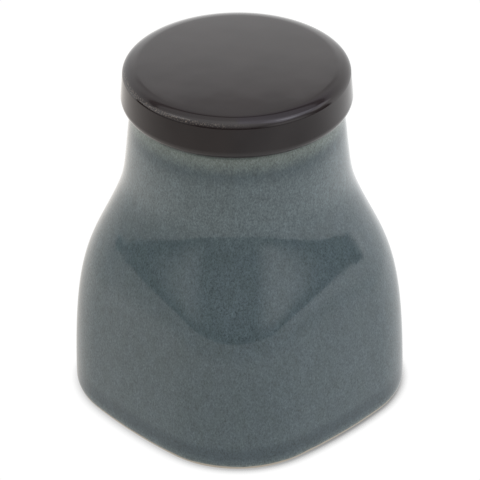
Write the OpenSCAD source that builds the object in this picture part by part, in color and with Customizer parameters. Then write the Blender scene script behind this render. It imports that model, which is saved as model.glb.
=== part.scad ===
// Stoneware storage jar with a square base, a round neck and a flat disc lid.
// The origin is the centre of the foot, +Z is up, and the flat sides face X and Y.

/* [Base] */
// Width of the base across its flat sides
base_w = 132.5; // [115:0.5:150]
// Corner radius of the base in plan
base_corner_r = 44.5; // [35:0.5:52]
// Plan radius of the gentle outward bow of each side
side_bow_r = 230; // [160:5:900]
// Height of the rounding where the sides turn in to the foot
foot_round_h = 4.5; // [3:0.5:10]
// How far that rounding draws the foot in
foot_round_in = 2.5; // [1.5:0.5:6]
// Width of the foot ring that the jar stands on
foot_ring_w = 7; // [4:0.5:12]
// Depth of the recess inside the foot ring
foot_recess = 2; // [1:0.25:3]

/* [Corner line] */
// Lean of the corner line at the foot, in degrees from upright
side_lean = 0.4; // [0:0.1:5]
// Height over which the corner line keeps that lean
side_pull = 62; // [40:1:64]
// Height at which the shoulder turns from convex to hollow
shoulder_z = 89.5; // [84:0.5:96]
// Distance of the corner line from the axis at that height
shoulder_r = 57; // [54:0.2:61]
// Slope of the shoulder there, in degrees from upright
shoulder_slope = 25.5; // [18:0.5:34]
// Height over which the shoulder keeps that slope, below the turn
shoulder_pull_low = 21; // [12:0.5:24]
// Height over which the shoulder keeps that slope, above the turn
shoulder_pull_high = 19.5; // [8:0.5:21]

/* [Neck] */
// Height of the rim above the surface that the jar stands on
jar_h = 143.5; // [135:0.5:155]
// Outside diameter of the neck at the rim
neck_d = 91.8; // [89:0.2:97]
// Taper of the neck at the rim, in degrees from upright
neck_taper = 7; // [0:0.1:9]
// Height over which the neck keeps that taper
neck_pull = 34; // [15:0.5:35]
// Height up to which the section stays square
square_to_z = 46; // [0:1:90]
// Height at which the section is fully round, which may lie above the rim
round_from_z = 147; // [118:1:150]
// Radius of the lip's outer edge
lip_outer_r = 1.5; // [1:0.25:2.5]
// Radius of the lip's inner edge
lip_inner_r = 1.25; // [0.5:0.25:1.25]

/* [Inside] */
// Thickness of the wall
wall = 5; // [3.5:0.25:7]
// Thickness of the floor
floor_t = 5; // [4:0.5:9]
// Radius of the hollow where the wall meets the floor
floor_fillet_r = 9; // [4:0.5:14]
// Thickness of the wall at the rim, around the round mouth
rim_wall = 4.9; // [4:0.1:7]
// Depth of the mouth's straight bore
mouth_depth = 13; // [11:0.5:16]
// Height over which the bore opens out into the hollow
throat_h = 22; // [14:1:26]

/* [Lid] */
// How far the lid stands out past the neck, all round
lid_overhang = 4.1; // [3.3:0.1:8]
// How much further the lid reaches at its lower edge than at its upper edge
lid_flare = 0.9; // [0:0.1:2]
// Thickness of the lid at its centre, above the rim
lid_t = 19; // [17:0.2:24]
// Slope of the slightly domed top face where it meets the upper edge, in degrees
lid_top_slope = 1.6; // [0.5:0.1:3]
// Width of the roll that rounds the upper edge
lid_roll_w = 7.1; // [4:0.1:10]
// Height of that roll
lid_roll_h = 3.6; // [2:0.1:5]
// Radius of the lower edge
lid_lower_r = 4.25; // [2:0.25:7.5]
// Thickness of the lid over the hollow in its underside
lid_crown_t = 7; // [5:0.5:9]

/* [Flange] */
// Gap between the flange and the mouth, all round
flange_gap = 1; // [0.3:0.1:1.5]
// Depth of the flange below the rim
flange_depth = 8; // [4:0.5:10]
// Thickness of the flange
flange_w = 4; // [3:0.25:6]
// Radius of the hollow's corner inside the lid
lid_hollow_r = 5; // [2:0.5:5.5]
// Radius of the flange's lower edges
flange_edge_r = 1; // [0.5:0.1:1.4]

/* [Hidden] */

// Smoothness: points round each ring, and faces of the lid's true curves
ring_points = 64;
$fn = 96;
// Rings along each stretch of the jar's surface
side_rings = 20;
inner_rings = 12;
edge_rings = 4;
// Steps along the rounded edges of the lid's section
roll_steps = 12;
arc_steps = 8;

// Plan of the base: side arcs of side_bow_r joined by corner arcs, which touch without a kink
half_w = base_w / 2;
bow_x = half_w - side_bow_r;
bow_to_corner = side_bow_r - base_corner_r;
corner_c = (bow_x + sqrt(2 * pow(bow_to_corner, 2) - pow(bow_x, 2))) / 2;
base_diag = sqrt(2) * corner_c + base_corner_r;
// Direction in which both arcs face where they touch, and the plan angle of that point
arcs_face = atan2(corner_c, corner_c - bow_x);
bow_end = atan2(side_bow_r * sin(arcs_face), bow_x + side_bow_r * cos(arcs_face));

neck_r = neck_d / 2;
mouth_r = neck_r - rim_wall;
floor_z = foot_recess + floor_t;
bore_z = jar_h - mouth_depth;
fillet_z = floor_z + floor_fillet_r;
lip_z = jar_h - lip_outer_r;

// Distance from a point at the origin to the far side of a circle, along a ray
// p is how far the circle's centre lies along the ray, and q its distance from the origin
function ray_to_circle(p, q, r) = p + sqrt(max(p * p - q * q + r * r, 0));

// Plan radius at the angle a, as a share of the corner's distance from the axis
function fold(a) = abs(a - 90 * round(a / 90));
function plan_side(t) = ray_to_circle(bow_x * cos(t), abs(bow_x), side_bow_r);
function plan_corner(t) =
    ray_to_circle(corner_c * (cos(t) + sin(t)), sqrt(2) * corner_c, base_corner_r);
function plan(a) =
    let (t = fold(a))
    (t < bow_end ? plan_side(t) : plan_corner(t)) / base_diag;

// The corner line is two curves, each with four control points of [distance from axis, height]
low_curve = [
    [base_diag, 0],
    [base_diag - side_pull * tan(side_lean), side_pull],
    [shoulder_r + shoulder_pull_low * tan(shoulder_slope), shoulder_z - shoulder_pull_low],
    [shoulder_r, shoulder_z]
];
high_curve = [
    [shoulder_r, shoulder_z],
    [shoulder_r - shoulder_pull_high * tan(shoulder_slope), shoulder_z + shoulder_pull_high],
    [neck_r + neck_pull * tan(neck_taper), jar_h - neck_pull],
    [neck_r, jar_h]
];
function curve_at(c, t) =
    pow(1 - t, 3) * c[0] + 3 * t * pow(1 - t, 2) * c[1] + 3 * t * t * (1 - t) * c[2] + pow(t, 3) * c[3];
// Place on a curve where it reaches the height z, found by halving so many times
halvings = 24;
function curve_place(c, z, lo, hi, steps) =
    let (mid = (lo + hi) / 2)
    steps == 0 ? mid
    : curve_at(c, mid)[1] < z ? curve_place(c, z, mid, hi, steps - 1)
    : curve_place(c, z, lo, mid, steps - 1);
function corner_line(z) =
    let (c = z < shoulder_z ? low_curve : high_curve)
    curve_at(c, curve_place(c, z, 0, 1, halvings))[0];

// Eases from 0 at lo to 1 at hi
function ease(v, lo, hi) =
    let (t = min(max((v - lo) / (hi - lo), 0), 1))
    t * t * (3 - 2 * t);

// Outside of the jar at the height z: the base's plan, turning into a circle towards the neck
function outside(z) =
    let (round_share = ease(z, square_to_z, round_from_z), r = corner_line(z))
    [for (i = [0 : ring_points - 1]) r * (plan(360 * i / ring_points) * (1 - round_share) + round_share)];
// Hollow of the jar at the height z: the outside less the wall, closing to the round mouth
function hollow(z) =
    let (bore_share = ease(z, bore_z - throat_h, bore_z))
    [for (r = outside(z)) (r - wall) * (1 - bore_share) + mouth_r * bore_share];

// A ring is its height and its radii; inset draws the radii in
function ring(z, radii, inset = 0) = [z, [for (r = radii) r - inset]];

// The whole surface as rings, from the underside outwards, up, over the lip and down inside
foot_rings = [
    ring(foot_recess, outside(0), foot_round_in + foot_ring_w + foot_recess / 2),
    ring(0, outside(0), foot_round_in + foot_ring_w),
    ring(0, outside(0), foot_round_in)
];
foot_round_rings = [
    for (i = [1 : edge_rings])
        let (t = 90 * i / edge_rings, z = foot_round_h * (1 - cos(t)))
        ring(z, outside(z), foot_round_in * (1 - sin(t)))
];
outer_rings = [
    for (i = [1 : side_rings])
        let (z = foot_round_h + (lip_z - foot_round_h) * i / side_rings)
        ring(z, outside(z))
];
lip_rings = [
    for (i = [1 : edge_rings])
        let (t = 90 * i / edge_rings, z = lip_z + lip_outer_r * sin(t))
        ring(z, outside(z), lip_outer_r * (1 - cos(t))),
    for (i = [0 : edge_rings - 1])
        let (t = 90 * i / edge_rings)
        ring(jar_h - lip_inner_r * (1 - cos(t)), hollow(jar_h), -lip_inner_r * (1 - sin(t)))
];
inner_surface_rings = [
    ring(jar_h - lip_inner_r, hollow(jar_h)),
    for (i = [0 : inner_rings])
        let (z = bore_z + (fillet_z - bore_z) * i / inner_rings)
        ring(z, hollow(z)),
    for (i = [1 : edge_rings])
        let (t = 90 * i / edge_rings, z = fillet_z - floor_fillet_r * sin(t))
        ring(z, hollow(fillet_z), floor_fillet_r * (1 - cos(t)))
];
all_rings = concat(foot_rings, foot_round_rings, outer_rings, lip_rings, inner_surface_rings);

function ring_xyz(g) = [
    for (i = [0 : ring_points - 1])
        [g[1][i] * cos(360 * i / ring_points), g[1][i] * sin(360 * i / ring_points), g[0]]
];

// Closed skin over a list of rings, with a point on the axis at each end
module skin(rings, first_z, last_z) {
    n = ring_points;
    last = len(rings) - 1;
    points = concat([[0, 0, first_z], [0, 0, last_z]], [for (g = rings) each ring_xyz(g)]);
    faces = [
        for (j = [0 : n - 1])
            let (k = (j + 1) % n)
            each concat(
                [[0, 2 + j, 2 + k]],
                [for (i = [0 : last - 1]) [2 + i * n + j, 2 + (i + 1) * n + j, 2 + (i + 1) * n + k]],
                [for (i = [0 : last - 1]) [2 + i * n + j, 2 + (i + 1) * n + k, 2 + i * n + k]],
                [[2 + last * n + j, 1, 2 + last * n + k]]
            )
    ];
    polyhedron(points, faces);
}

module jar_body() {
    color("slategray") skin(all_rings, foot_recess, floor_z);
}

// Lid section, with the rim's height as zero
lid_r = neck_r + lid_overhang;
lid_top_r = lid_r - lid_flare;
flange_r = mouth_r - flange_gap;
flange_inner_r = flange_r - flange_w;
flange_edge_z = flange_edge_r - flange_depth;
lid_hollow_top = lid_t - lid_crown_t;

// Reach of an oval in the direction t, and its point that faces that way
// a and b are its half width and half height
function oval_reach(a, b, t) = sqrt(pow(a * cos(t), 2) + pow(b * sin(t), 2));
function oval_point(c, a, b, t) = c + [a * a * cos(t), b * b * sin(t)] / oval_reach(a, b, t);
// Points along an oval, or a circle where a and b are the same, from one direction to another
function oval_arc(c, a, b, from, to, steps) = [
    for (i = [0 : steps])
        oval_point(c, a, b, from + (to - from) * i / steps)
];
function arc(c, r, from, to, steps) = oval_arc(c, r, r, from, to, steps);

// The top face is part of a large sphere that meets the roll without a kink
top_ends = 90 - lid_top_slope;
roll_x = lid_top_r - lid_roll_w;
roll_end = oval_point([roll_x, 0], lid_roll_w, lid_roll_h, top_ends);
top_r = roll_end[0] / sin(lid_top_slope);
top_c = [0, lid_t - top_r];
roll_c = [roll_x, top_c[1] + top_r * cos(lid_top_slope) - roll_end[1]];
lower_c = [lid_r - lid_lower_r, lid_lower_r];
// Direction in which the flaring side faces, as it touches both the roll and the lower edge
function reach(c, t) = c[0] * cos(t) + c[1] * sin(t);
function roll_reach(t) = reach(roll_c, t) + oval_reach(lid_roll_w, lid_roll_h, t);
function lower_reach(t) = reach(lower_c, t) + lid_lower_r;
function side_direction(lo, hi, steps) =
    let (mid = (lo + hi) / 2)
    steps == 0 ? mid
    : roll_reach(mid) < lower_reach(mid) ? side_direction(mid, hi, steps - 1)
    : side_direction(lo, mid, steps - 1);
side_faces = side_direction(0, 45, halvings);

module lid_section() {
    polygon(concat(
        arc(top_c, top_r, 90, top_ends, edge_rings),
        oval_arc(roll_c, lid_roll_w, lid_roll_h, top_ends, side_faces, roll_steps),
        arc(lower_c, lid_lower_r, side_faces, -90, arc_steps),
        [[flange_r, 0]],
        arc([flange_r - flange_edge_r, flange_edge_z], flange_edge_r, 0, -90, edge_rings),
        arc([flange_inner_r + flange_edge_r, flange_edge_z], flange_edge_r, -90, -180, edge_rings),
        arc([flange_inner_r - lid_hollow_r, lid_hollow_top - lid_hollow_r], lid_hollow_r, 0, 90, arc_steps),
        [[0, lid_hollow_top]]
    ));
}

module lid() {
    color([0.16, 0.15, 0.15]) translate([0, 0, jar_h]) rotate_extrude() lid_section();
}

jar_body();
lid();
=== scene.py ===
from math import atan2, cos, pi, radians, sin, sqrt, tan

import bpy
import numpy as np
from mathutils import Matrix, Vector


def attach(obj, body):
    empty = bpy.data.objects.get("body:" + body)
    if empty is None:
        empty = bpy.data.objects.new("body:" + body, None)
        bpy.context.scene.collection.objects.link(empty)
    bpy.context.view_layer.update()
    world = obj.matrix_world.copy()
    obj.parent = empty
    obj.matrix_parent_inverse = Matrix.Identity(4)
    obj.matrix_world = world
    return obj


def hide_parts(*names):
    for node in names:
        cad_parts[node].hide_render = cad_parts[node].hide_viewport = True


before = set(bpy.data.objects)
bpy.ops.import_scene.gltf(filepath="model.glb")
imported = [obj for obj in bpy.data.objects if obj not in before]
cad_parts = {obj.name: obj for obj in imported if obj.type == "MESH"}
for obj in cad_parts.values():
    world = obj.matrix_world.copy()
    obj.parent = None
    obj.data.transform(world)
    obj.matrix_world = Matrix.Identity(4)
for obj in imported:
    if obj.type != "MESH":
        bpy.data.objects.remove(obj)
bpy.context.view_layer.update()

MM = 0.001

# Sizes in millimetres, as in the CAD
base_w, base_corner_r, side_bow_r = 132.5, 44.5, 230
foot_round_h, foot_round_in, foot_ring_w, foot_recess = 4.5, 2.5, 7, 2
side_lean, side_pull = radians(0.4), 62
shoulder_z, shoulder_r, shoulder_slope = 89.5, 57, radians(25.5)
shoulder_pull_low, shoulder_pull_high = 21, 19.5
jar_h, neck_r, neck_taper, neck_pull = 143.5, 45.9, radians(7), 34
square_to_z, round_from_z = 46, 147
lip_outer_r, lip_inner_r = 1.5, 1.25
wall, floor_t, floor_fillet_r, rim_wall = 5, 5, 9, 4.9
mouth_depth, throat_h = 13, 22
lid_overhang, lid_flare, lid_t, lid_top_slope = 4.1, 0.9, 19, radians(1.6)
lid_roll_w, lid_roll_h, lid_lower_r, lid_crown_t = 7.1, 3.6, 4.25, 7
flange_gap, flange_depth, flange_w, lid_hollow_r, flange_edge_r = 1, 8, 4, 5, 1

# Fineness of the meshes
AROUND = 256
SIDE_RINGS, INNER_RINGS, EDGE_RINGS = 120, 40, 12
LID_ARC, FLANGE_ARC, HOLLOW_ARC = 16, 6, 8
CURVE_POINTS, MEETING_STEPS = 4001, 20001
SHARP_ANGLE = radians(35)

# The camera, from the fit of the jar's outline
CAM_TURN = radians(-43.27)
CAM_DOWN = radians(32.96)
CAM_DISTANCE = 1.5562
CAM_ROLL = radians(-0.56)
FOCAL_PX = 3526.0
IMAGE_PX = 480
SENSOR_MM = 36
AIM_RIGHT, AIM_UP = 0.00072, 0.07228


# Plan and side of the jar
half_w = base_w / 2
bow_x = half_w - side_bow_r
corner_c = (bow_x + sqrt(2 * (side_bow_r - base_corner_r) ** 2 - bow_x ** 2)) / 2
base_diag = sqrt(2) * corner_c + base_corner_r
arcs_face = atan2(corner_c, corner_c - bow_x)
bow_end = atan2(side_bow_r * sin(arcs_face), bow_x + side_bow_r * cos(arcs_face))
mouth_r = neck_r - rim_wall
floor_z = foot_recess + floor_t
bore_z = jar_h - mouth_depth
fillet_z = floor_z + floor_fillet_r
lip_z = jar_h - lip_outer_r
angles = np.arange(AROUND) * 2 * pi / AROUND


# Reach of the base's plan at an angle, as a share of its reach at the corner
def plan(a):
    t = np.abs(a - pi / 2 * np.round(a / (pi / 2)))
    side_p = bow_x * np.cos(t)
    side = side_p + np.sqrt(side_p ** 2 - bow_x ** 2 + side_bow_r ** 2)
    corner_p = corner_c * (np.cos(t) + np.sin(t))
    corner = corner_p + np.sqrt(corner_p ** 2 - 2 * corner_c ** 2 + base_corner_r ** 2)
    return np.where(t < bow_end, side, corner) / base_diag


# Points of a cubic curve with four poles
def curve(points, t):
    p = np.array(points, float)[:, None, :]
    t = t[:, None]
    return (1 - t) ** 3 * p[0] + 3 * t * (1 - t) ** 2 * p[1] + 3 * t ** 2 * (1 - t) * p[2] + t ** 3 * p[3]


fine = np.linspace(0, 1, CURVE_POINTS)
low = curve([
    (base_diag, 0),
    (base_diag - side_pull * tan(side_lean), side_pull),
    (shoulder_r + shoulder_pull_low * tan(shoulder_slope), shoulder_z - shoulder_pull_low),
    (shoulder_r, shoulder_z),
], fine)
high = curve([
    (shoulder_r, shoulder_z),
    (shoulder_r - shoulder_pull_high * tan(shoulder_slope), shoulder_z + shoulder_pull_high),
    (neck_r + neck_pull * tan(neck_taper), jar_h - neck_pull),
    (neck_r, jar_h),
], fine)
corner_line = np.concatenate([low, high[1:]])
plan_share = plan(angles)


def ease(v, lo, hi):
    t = min(max((v - lo) / (hi - lo), 0), 1)
    return t * t * (3 - 2 * t)


# Outer radius of the jar at each angle: square below and round above
def outside(z):
    share = ease(z, square_to_z, round_from_z)
    r = np.interp(z, corner_line[:, 1], corner_line[:, 0])
    return r * (plan_share * (1 - share) + share)


# Inner radius of the jar at each angle: it follows the outside and is round at the throat
def hollow(z):
    share = ease(z, bore_z - throat_h, bore_z)
    return (outside(z) - wall) * (1 - share) + mouth_r * share


def steps(n, first=1):
    return [(i / n, pi / 2 * i / n) for i in range(first, n + 1)]


# Rings of the jar: from the recess in the foot, up the outside, over the lip and down the inside
def jar_rings():
    rings = [
        (foot_recess, outside(0) - foot_round_in - foot_ring_w - foot_recess / 2),
        (0, outside(0) - foot_round_in - foot_ring_w),
        (0, outside(0) - foot_round_in - foot_ring_w / 2),
        (0, outside(0) - foot_round_in),
    ]
    for _, t in steps(EDGE_RINGS):
        z = foot_round_h * (1 - cos(t))
        rings.append((z, outside(z) - foot_round_in * (1 - sin(t))))
    for share, _ in steps(SIDE_RINGS):
        z = foot_round_h + (lip_z - foot_round_h) * share
        rings.append((z, outside(z)))
    for _, t in steps(EDGE_RINGS):
        z = lip_z + lip_outer_r * sin(t)
        rings.append((z, outside(z) - lip_outer_r * (1 - cos(t))))
    for _, t in steps(EDGE_RINGS, 0):
        z = jar_h - lip_inner_r * (1 - cos(t))
        rings.append((z, hollow(jar_h) + lip_inner_r * (1 - sin(t))))
    for share, _ in steps(INNER_RINGS, 0):
        z = bore_z + (fillet_z - bore_z) * share
        rings.append((z, hollow(z)))
    for _, t in steps(EDGE_RINGS):
        z = fillet_z - floor_fillet_r * sin(t)
        rings.append((z, hollow(fillet_z) - floor_fillet_r * (1 - cos(t))))
    return rings


# Reach of an oval in the direction t, and the points where it faces a range of directions
def oval_reach(a, b, t):
    return np.sqrt((a * np.cos(t)) ** 2 + (b * np.sin(t)) ** 2)


def oval(centre, a, b, start, end, n):
    t = np.linspace(start, end, n + 1)
    reach = oval_reach(a, b, t)
    return list(zip(centre[0] + a * a * np.cos(t) / reach, centre[1] + b * b * np.sin(t) / reach))


# Rings of the lid: from the middle of the top, over the edge and the flange, to the hollow beneath
def lid_rings():
    lid_r = neck_r + lid_overhang
    flange_r = mouth_r - flange_gap
    flange_inner_r = flange_r - flange_w
    flange_edge_z = flange_edge_r - flange_depth
    hollow_top = lid_t - lid_crown_t
    top_ends = pi / 2 - lid_top_slope
    roll_x = lid_r - lid_flare - lid_roll_w
    end_x, end_z = oval((roll_x, 0), lid_roll_w, lid_roll_h, top_ends, top_ends, 0)[0]
    top_r = end_x / sin(lid_top_slope)
    roll_c = (roll_x, lid_t - top_r + top_r * cos(lid_top_slope) - end_z)
    lower_c = (lid_r - lid_lower_r, lid_lower_r)
    t = np.linspace(0, pi / 4, MEETING_STEPS)
    roll_reach = roll_c[0] * np.cos(t) + roll_c[1] * np.sin(t) + oval_reach(lid_roll_w, lid_roll_h, t)
    lower_reach = lower_c[0] * np.cos(t) + lower_c[1] * np.sin(t) + lid_lower_r
    side_faces = t[np.argmax(roll_reach >= lower_reach)]
    section = oval((0, lid_t - top_r), top_r, top_r, pi / 2, top_ends, LID_ARC)[1:]
    section += oval(roll_c, lid_roll_w, lid_roll_h, top_ends, side_faces, 3 * LID_ARC)[1:]
    section += oval(lower_c, lid_lower_r, lid_lower_r, side_faces, -pi / 2, LID_ARC)
    section += [(flange_r, 0)]
    e, h = flange_edge_r, lid_hollow_r
    section += oval((flange_r - e, flange_edge_z), e, e, 0, -pi / 2, FLANGE_ARC)
    section += oval((flange_inner_r + e, flange_edge_z), e, e, -pi / 2, -pi, FLANGE_ARC)
    section += oval((flange_inner_r - h, hollow_top - h), h, h, 0, pi / 2, HOLLOW_ARC)
    rings = [(jar_h + z, np.full(AROUND, r)) for r, z in section]
    return rings, jar_h + lid_t, jar_h + hollow_top


# A smooth closed mesh through the rings, with a fan of triangles at each end
def skin(name, rings, first_z, last_z):
    n = AROUND
    points = [(0, 0, first_z * MM), (0, 0, last_z * MM)]
    for z, radii in rings:
        points += [(r * cos(a) * MM, r * sin(a) * MM, z * MM) for r, a in zip(radii, angles)]
    last = len(rings) - 1
    faces = []
    for j in range(n):
        k = (j + 1) % n
        faces.append((0, 2 + k, 2 + j))
        for i in range(last):
            a, b = 2 + i * n, 2 + (i + 1) * n
            faces.append((a + j, a + k, b + k, b + j))
        faces.append((2 + last * n + j, 2 + last * n + k, 1))
    mesh = bpy.data.meshes.new(name)
    mesh.from_pydata(points, [], faces)
    mesh.shade_smooth()
    mesh.set_sharp_from_angle(angle=SHARP_ANGLE)
    piece = bpy.data.objects.new(name, mesh)
    bpy.context.scene.collection.objects.link(piece)
    return piece


jar = skin("jar_glazed", jar_rings(), foot_recess, floor_z)
lid = skin("lid_glazed", *lid_rings())
lid.data.flip_normals()


# Node helpers
def node(tree, kind, inputs=None, **settings):
    n = tree.nodes.new("ShaderNode" + kind)
    for key, value in settings.items():
        setattr(n, key, value)
    for key, value in (inputs or {}).items():
        if isinstance(value, bpy.types.NodeSocket):
            tree.links.new(value, n.inputs[key])
        else:
            n.inputs[key].default_value = value
    return n


def noise(tree, coords, scale, detail=2.0, roughness=0.5):
    inputs = {"Vector": coords, "Scale": scale, "Detail": detail, "Roughness": roughness}
    return node(tree, "TexNoise", inputs).outputs["Fac"]


def ramp(tree, value, lo, hi, out_lo=0.0, out_hi=1.0, kind="SMOOTHSTEP"):
    inputs = {"Value": value, "From Min": lo, "From Max": hi, "To Min": out_lo, "To Max": out_hi}
    return node(tree, "MapRange", inputs, interpolation_type=kind).outputs["Result"]


def maths(tree, operation, a, b=0.0):
    return node(tree, "Math", {0: a, 1: b}, operation=operation).outputs[0]


def times(tree, product, *others):
    for value in others:
        product = maths(tree, "MULTIPLY", product, value)
    return product


def band(tree, value, start, full, fading, end):
    return times(tree, ramp(tree, value, start, full), ramp(tree, value, end, fading))


def along(tree, vector, axis):
    return node(tree, "VectorMath", {0: vector, 1: axis}, operation="DOT_PRODUCT").outputs["Value"]


def upright(tree, vector):
    return node(tree, "SeparateXYZ", {"Vector": vector}).outputs["Z"]


def scaled(tree, colour, factor):
    return node(tree, "VectorMath", {0: colour, "Scale": factor}, operation="SCALE").outputs["Vector"]


def grey(tree, value):
    return node(tree, "CombineColor", {0: value, 1: value, 2: value}).outputs[0]


def mix(tree, share, a, b):
    a, b = ((*c, 1) if isinstance(c, tuple) else c for c in (a, b))
    return node(tree, "Mix", {0: share, 6: a, 7: b}, data_type="RGBA").outputs[2]


def blend_levels(tree, share, a, b):
    return node(tree, "Mix", {0: share, 2: a, 3: b}, data_type="FLOAT").outputs[0]


def by_steps(tree, value, last, levels):
    n = node(tree, "ValToRGB", {"Fac": maths(tree, "DIVIDE", value, last)})
    stops = n.color_ramp.elements
    for i, (place, level) in enumerate(levels):
        stop = stops[i] if i < 2 else stops.new(place / last)
        stop.position, stop.color = place / last, (level, level, level, 1)
    return n.outputs["Color"]


def bumped(tree, shader, height, distance):
    bump = node(tree, "Bump", {"Height": height, "Distance": distance, "Strength": 1.0})
    tree.links.new(bump.outputs["Normal"], shader.inputs["Normal"])


def material(name, roughness):
    m = bpy.data.materials.new(name)
    m.use_nodes = True
    shader = m.node_tree.nodes["Principled BSDF"]
    shader.inputs["Roughness"].default_value = roughness
    shader.inputs["IOR"].default_value = GLAZE_IOR
    return m, m.node_tree, shader


def object_place(tree):
    return node(tree, "TexCoord").outputs["Object"]


# Colours of the glazes and the bare clay
GLAZE_GREEN = (0.094, 0.127, 0.1365)
GLAZE_BLUE = (0.0935, 0.1255, 0.1385)
GLAZE_SHOULDER = (0.150, 0.190, 0.200)
GLAZE_DARK_LOW = (0.035, 0.055, 0.070)
# Pale glaze: at the lip it is partly thin glaze and partly painted light that makes up for the lid's shade
GLAZE_PALE = (0.245, 0.290, 0.265)
IRON = (0.030, 0.024, 0.018)
STONEWARE = (0.52, 0.46, 0.38)
LID_DARK = (0.0135, 0.0085, 0.0088)
LID_LIGHT = (0.0180, 0.0120, 0.0122)
LID_WORN = (0.30, 0.25, 0.20)

# Heights of the glaze's bands in millimetres: start, full, fading and end, or only start and full
SHOULDER_BAND = (95, 114, 127, 135)
DARK_LOW_BAND = (4.5, 6.5, 9.5, 13.5)
# The lip's pale band: partly thin glaze, partly painted light against the lid's shade
THIN_LIP_AND_PAINTED_LIGHT = (133.5, 142.0)
PALE_FOOT = (4.2, 1.6)
BARE_FOOT = (2.4, 1.9)
WORN_BAND = (159.0, 159.7, 160.1, 160.8)

# The side on which the lid's edge is worn, and how far out the wear starts and is full, in metres
WORN_SIDE = (-1, 0.06, 0)
WORN_REACH = (0.026, 0.042)

# Shares of the colours where they are full, and the gloss of glaze and clay
SHOULDER_SHARE, DARK_LOW_SHARE, THIN_LIP_AND_LIGHT_SHARE, PALE_FOOT_SHARE = 0.70, 0.45, 0.82, 0.5
IRON_SHARE, WORN_SHARE = 0.7, 0.42
GLAZE_ROUGH, LID_ROUGH, CLAY_ROUGH, GLAZE_IOR = 0.07, 0.06, 0.7, 1.5

# Scales of the patterns in waves a metre, and the depths of the surface's waves in metres
SPECKLE_SCALE, MOTTLE_SCALE, CLOUD_SCALE, EDGE_SCALE = 1500.0, 330.0, 150.0, 400.0
IRON_SCALE, CLAY_EDGE_SCALE, LID_CLOUD_SCALE = 75.0, 120.0, 60.0
STREAK_STRETCH = (1, 1, 0.6)
JAR_WAVE_SCALE, JAR_WAVE_DEPTH = 55.0, 0.00012
LID_WAVE_SCALE, LID_WAVE_DEPTH = 50.0, 0.00006


# Jar glaze
def jar_glaze():
    m, t, shader = material("jar_glaze", GLAZE_ROUGH)
    coords = object_place(t)
    height = maths(t, "DIVIDE", upright(t, coords), MM)
    uneven = maths(t, "ADD", height, ramp(t, noise(t, coords, EDGE_SCALE, 3.0), 0.3, 0.7, -0.5, 0.5))
    streaky = node(t, "VectorMath", {0: coords, 1: STREAK_STRETCH}, operation="MULTIPLY").outputs["Vector"]
    speckle = noise(t, streaky, SPECKLE_SCALE, 5.0, 0.8)
    mottle = noise(t, streaky, MOTTLE_SCALE, 3.0, 0.6)
    cloud = noise(t, streaky, CLOUD_SCALE, 4.0, 0.6)
    colour = mix(t, ramp(t, cloud, 0.35, 0.65), GLAZE_GREEN, GLAZE_BLUE)
    colour = mix(t, times(t, band(t, uneven, *SHOULDER_BAND), SHOULDER_SHARE), colour, GLAZE_SHOULDER)
    # Darker band low on the jar, from about 4.5 to 13.5 mm up
    colour = mix(t, times(t, band(t, uneven, *DARK_LOW_BAND), DARK_LOW_SHARE), colour, GLAZE_DARK_LOW)
    # Pale band under the lid: partly thin glaze, partly painted light against the lid's shade
    thin_lip_and_painted_light = ramp(t, uneven, *THIN_LIP_AND_PAINTED_LIGHT, 0.0, THIN_LIP_AND_LIGHT_SHARE)
    # Paler just above the foot
    pale_foot = ramp(t, uneven, *PALE_FOOT, 0.0, PALE_FOOT_SHARE)
    colour = mix(t, maths(t, "MAXIMUM", thin_lip_and_painted_light, pale_foot), colour, GLAZE_PALE)
    # Each pattern's range, and how much it darkens and lightens the glaze
    for pattern, lo, hi, dark, light in (
        (speckle, 0.2, 0.8, 0.15, 1.85),
        (mottle, 0.25, 0.75, 0.87, 1.13),
        (cloud, 0.3, 0.7, 0.95, 1.05),
    ):
        colour = scaled(t, colour, ramp(t, pattern, lo, hi, dark, light, "LINEAR"))
    cell = node(t, "TexVoronoi", {"Vector": coords, "Scale": IRON_SCALE})
    chosen = ramp(t, node(t, "SeparateColor", {0: cell.outputs["Color"]}).outputs[0], 0.7, 0.75)
    speck = times(t, ramp(t, cell.outputs["Distance"], 0.045, 0.02), chosen, IRON_SHARE)
    colour = mix(t, speck, colour, IRON)
    clay_edge = ramp(t, noise(t, coords, CLAY_EDGE_SCALE), 0.3, 0.7, -0.15, 0.15)
    bare = ramp(t, maths(t, "ADD", height, clay_edge), *BARE_FOOT)
    colour = mix(t, bare, colour, STONEWARE)
    t.links.new(colour, shader.inputs["Base Color"])
    t.links.new(ramp(t, bare, 0.0, 1.0, GLAZE_ROUGH, CLAY_ROUGH), shader.inputs["Roughness"])
    bumped(t, shader, noise(t, coords, JAR_WAVE_SCALE, 3.0), JAR_WAVE_DEPTH)
    return m


# Lid glaze, with its edge worn on one side
def lid_glaze():
    m, t, shader = material("lid_glaze", LID_ROUGH)
    coords = object_place(t)
    colour = mix(t, ramp(t, noise(t, coords, LID_CLOUD_SCALE), 0.3, 0.7), LID_DARK, LID_LIGHT)
    edge = band(t, maths(t, "DIVIDE", upright(t, coords), MM), *WORN_BAND)
    worn_side = ramp(t, along(t, coords, WORN_SIDE), *WORN_REACH)
    crumbs = ramp(t, noise(t, coords, SPECKLE_SCALE, 3.0, 0.7), 0.5, 0.62, 0.0, WORN_SHARE)
    colour = mix(t, times(t, edge, worn_side, crumbs), colour, LID_WORN)
    t.links.new(colour, shader.inputs["Base Color"])
    bumped(t, shader, noise(t, coords, LID_WAVE_SCALE, 2.0), LID_WAVE_DEPTH)
    return m


jar.data.materials.append(jar_glaze())
lid.data.materials.append(lid_glaze())
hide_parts("jar_body")
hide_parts("lid")
for piece, slot in ((jar, "jar_glaze"), (lid, "lid_glaze")):
    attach(piece, "root")

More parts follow.
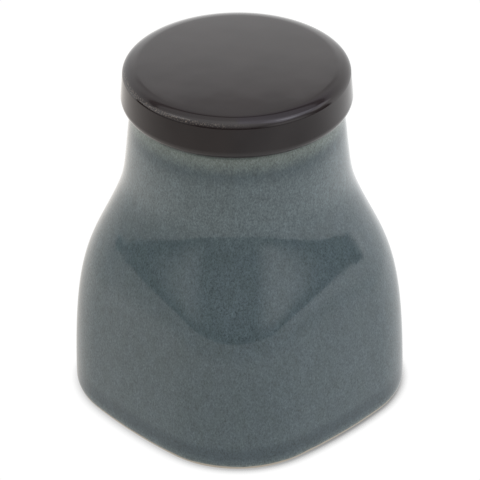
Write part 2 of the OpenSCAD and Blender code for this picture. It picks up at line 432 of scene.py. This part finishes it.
# Camera
scene = bpy.context.scene
back_of_view = Vector((sin(CAM_TURN), -cos(CAM_TURN), 0))
right_of_view = Vector((cos(CAM_TURN), sin(CAM_TURN), 0))
target = right_of_view * AIM_RIGHT + Vector((0, 0, AIM_UP))
eye = back_of_view * CAM_DISTANCE * cos(CAM_DOWN) + Vector((0, 0, AIM_UP + CAM_DISTANCE * sin(CAM_DOWN)))
ahead = (target - eye).normalized()
right = ahead.cross(Vector((0, 0, 1))).normalized()
up = right.cross(ahead)
rolled_right = cos(CAM_ROLL) * right + sin(CAM_ROLL) * up
rolled_up = -sin(CAM_ROLL) * right + cos(CAM_ROLL) * up
camera = bpy.data.objects.new("camera", bpy.data.cameras.new("camera"))
scene.collection.objects.link(camera)
camera.matrix_world = Matrix((
    (rolled_right.x, rolled_up.x, -ahead.x, eye.x),
    (rolled_right.y, rolled_up.y, -ahead.y, eye.y),
    (rolled_right.z, rolled_up.z, -ahead.z, eye.z),
    (0, 0, 0, 1),
))
camera.data.sensor_width = SENSOR_MM
camera.data.lens = FOCAL_PX * SENSOR_MM / IMAGE_PX
camera.data.clip_end = 50
scene.camera = camera


# Directions: turn in degrees is 0 toward the camera and grows to the right, rise is 0 at the horizon
def toward(turn):
    return back_of_view * cos(radians(turn)) + right_of_view * sin(radians(turn))


# Table and floor: the glaze reflects the table only, and its edge lies nearer on the left
TABLE_R = 1.0786
TABLE_NEAR = 0.12
NEAR_TURN = -100
TABLE_SIDES = 128
FLOOR_TIMES = 11


def disc(name, inner, outer):
    near_side = toward(NEAR_TURN)
    points, faces = [], []
    for i in range(TABLE_SIDES):
        a = 2 * pi * i / TABLE_SIDES
        out = Vector((cos(a), sin(a), 0))
        edge = TABLE_R - TABLE_NEAR * max(out.dot(near_side), 0) ** 2
        points += [out * edge * outer, out * edge * inner]
        k = (i + 1) % TABLE_SIDES
        faces.append((2 * i, 2 * k, 2 * k + 1, 2 * i + 1))
    if not inner:
        points, faces = points[0::2], [tuple(range(TABLE_SIDES))]
    mesh = bpy.data.meshes.new(name)
    mesh.from_pydata(points, [], faces)
    piece = bpy.data.objects.new(name, mesh)
    scene.collection.objects.link(piece)
    return piece


table = disc("table", 0, 1)
floor = disc("floor", 1, FLOOR_TIMES)
floor.visible_glossy = False
floor.visible_diffuse = False

# Painted warm light on the table's left side, and the reach to the right where it starts and ends, in metres
WHITE = (1.0, 1.0, 1.0)
WARM_LEFT = (1.05, 1.0, 0.95)
WARM_REACH = (-0.14, 0.06)

# Painted light and shade of the glowing table, with painted shade close to the jar and at one place: from
# and to in metres, and the levels there
FRONT_TO_BACK = (-0.34, 0.1, 0.72, 1.18)
FAR_BACK = (0.1, 0.5, 1.0, 1.1)
SHADE_CLOSE_TO_JAR = (0.06, 0.28, 0.73, 1.0)
OUTER_PART = (0.22, 0.34, 1.0, 0.84)
SHADED_PLACE = (0.04, 0.24, 0.78, 1.0)
SHADE_TURN, SHADE_REACH = 68, 0.32
FAR_TURN = 150

# The shadow at the jar's foot: its reach in metres, its edge, and its levels from the right to the left side
SHADOW_REACH = 0.008
SHADOW_EDGE = (0.3, 0.78)
SHADOW_SIDES = (-0.02, 0.07, 0.28, 0.62)
SHADOW_TURN = -60
SEEN_WHITE = 1.02
TABLE_ROUGH = 0.9


# The table glows like a lit white sheet with painted light: brighter behind than in front, with painted
# shade close to the jar and at one place on the right
def table_white():
    m, t, shader = material("table_white", TABLE_ROUGH)
    place = object_place(t)
    far = along(t, place, toward(FAR_TURN))
    reach = node(t, "VectorMath", {0: place}, operation="LENGTH").outputs["Value"]
    shade = {0: place, 1: toward(SHADE_TURN) * SHADE_REACH}
    from_shade = node(t, "VectorMath", shade, operation="DISTANCE").outputs["Value"]
    glow = times(
        t,
        ramp(t, far, *FRONT_TO_BACK, "LINEAR"),
        ramp(t, far, *FAR_BACK),
        ramp(t, reach, *SHADE_CLOSE_TO_JAR),
        ramp(t, reach, *OUTER_PART),
        ramp(t, from_shade, *SHADED_PLACE),
    )
    tint = mix(t, ramp(t, along(t, place, toward(90)), *WARM_REACH), WARM_LEFT, WHITE)
    # The camera sees plain white with the shadow at the foot, and the glaze reflects the glow
    open_above = node(t, "AmbientOcclusion", {"Distance": SHADOW_REACH}, samples=16).outputs["AO"]
    shadow = ramp(t, along(t, place, toward(SHADOW_TURN)), *SHADOW_SIDES)
    seen = ramp(t, open_above, *SHADOW_EDGE, shadow, SEEN_WHITE)
    by_camera = node(t, "LightPath").outputs["Is Camera Ray"]
    level = mix(t, by_camera, scaled(t, tint, glow), grey(t, seen))
    shader.inputs["Base Color"].default_value = (0, 0, 0, 1)
    shader.inputs["Specular IOR Level"].default_value = 0.0
    t.links.new(level, shader.inputs["Emission Color"])
    shader.inputs["Emission Strength"].default_value = 1.0
    return m


white = table_white()
for piece in (table, floor):
    piece.data.materials.append(white)

# Brightness by rise: the white sweep behind the jar, in its middle and at its sides, and the dark room
SWEEP_MIDDLE = (
    (0, 1.9), (20, 1.9), (26, 1.5), (30, 1.2), (32.5, 0.88), (33.3, 0.62), (44.5, 0.58), (46, 0.2),
    (49.5, 0.2), (51, 0.7), (60, 0.82), (70, 1.0), (90, 1.6),
)
SWEEP_SIDES = (
    (0, 1.4), (20, 1.3), (30, 1.12), (38, 0.92), (43, 0.72), (45, 0.6), (46.5, 0.25), (50, 0.25), (52, 0.7),
    (60, 0.82), (70, 1.0), (90, 1.6),
)
ROOM = ((0, 0.03), (10, 0.16), (20, 0.27), (30, 0.42), (43, 0.75), (57, 1.0), (68, 1.25), (90, 1.6))

# Turns where the middle of the sweep starts and is full
SWEEP_MIDDLE_TURNS = (158, 176)

# The room lies around this turn, and the sweep starts and is full at these cosines from it
ROOM_TURN = -5
ROOM_EDGE = (-0.19, -0.325)

# Soft boxes and pale things in the room: turn from and to, rise from and to, softness of turn, brightness
BOXES = (
    (-112, -76, 12, 75, 6, 1.5),
    (-106, -80, 50, 68, 6, 2.5),
    (50, 120, 48, 80, 7, 2.0),
    (70, 98, 54, 72, 6, 3.6),
    (88, 124, 34, 52, 5, 1.6),
    (-90, -42, 1, 40, 17, 0.76),
    (27, 75, 1, 40, 16, 1.12),
)
RISE_SOFT = 6

# Tint of the light from the upper right, and the turns and rises where it starts and is full
COOL_RIGHT = (0.98, 0.97, 1.09)
COOL_TURNS = (35, 60)
COOL_RISES = (35, 50)


# Light by direction
def studio_light():
    world = bpy.data.worlds.new("studio")
    world.use_nodes = True
    t = world.node_tree
    direction = node(t, "TexCoord").outputs["Generated"]
    turn = maths(t, "ARCTAN2", along(t, direction, right_of_view), along(t, direction, back_of_view))
    turn = maths(t, "DEGREES", turn)
    rise = maths(t, "DEGREES", maths(t, "ARCSINE", upright(t, direction)))
    middle = ramp(t, maths(t, "ABSOLUTE", turn), *SWEEP_MIDDLE_TURNS)
    sweep = blend_levels(t, middle, by_steps(t, rise, 90, SWEEP_SIDES), by_steps(t, rise, 90, SWEEP_MIDDLE))
    behind = ramp(t, along(t, direction, toward(ROOM_TURN)), *ROOM_EDGE)
    light = blend_levels(t, behind, by_steps(t, rise, 90, ROOM), sweep)
    for turn_from, turn_to, low, high, soft, power in BOXES:
        across = band(t, turn, turn_from - soft, turn_from + soft, turn_to - soft, turn_to + soft)
        upward = band(t, rise, low - RISE_SOFT, low + RISE_SOFT, high - RISE_SOFT, high + RISE_SOFT)
        light = maths(t, "MAXIMUM", light, times(t, across, upward, power))
    cool = times(t, ramp(t, turn, *COOL_TURNS), ramp(t, rise, *COOL_RISES))
    light = scaled(t, mix(t, cool, WHITE, COOL_RIGHT), light)
    by_camera = node(t, "LightPath").outputs["Is Camera Ray"]
    t.links.new(mix(t, by_camera, light, WHITE), t.nodes["Background"].inputs["Color"])
    return world


scene.world = studio_light()
scene.view_settings.view_transform = "Standard"
scene.view_settings.look = "None"
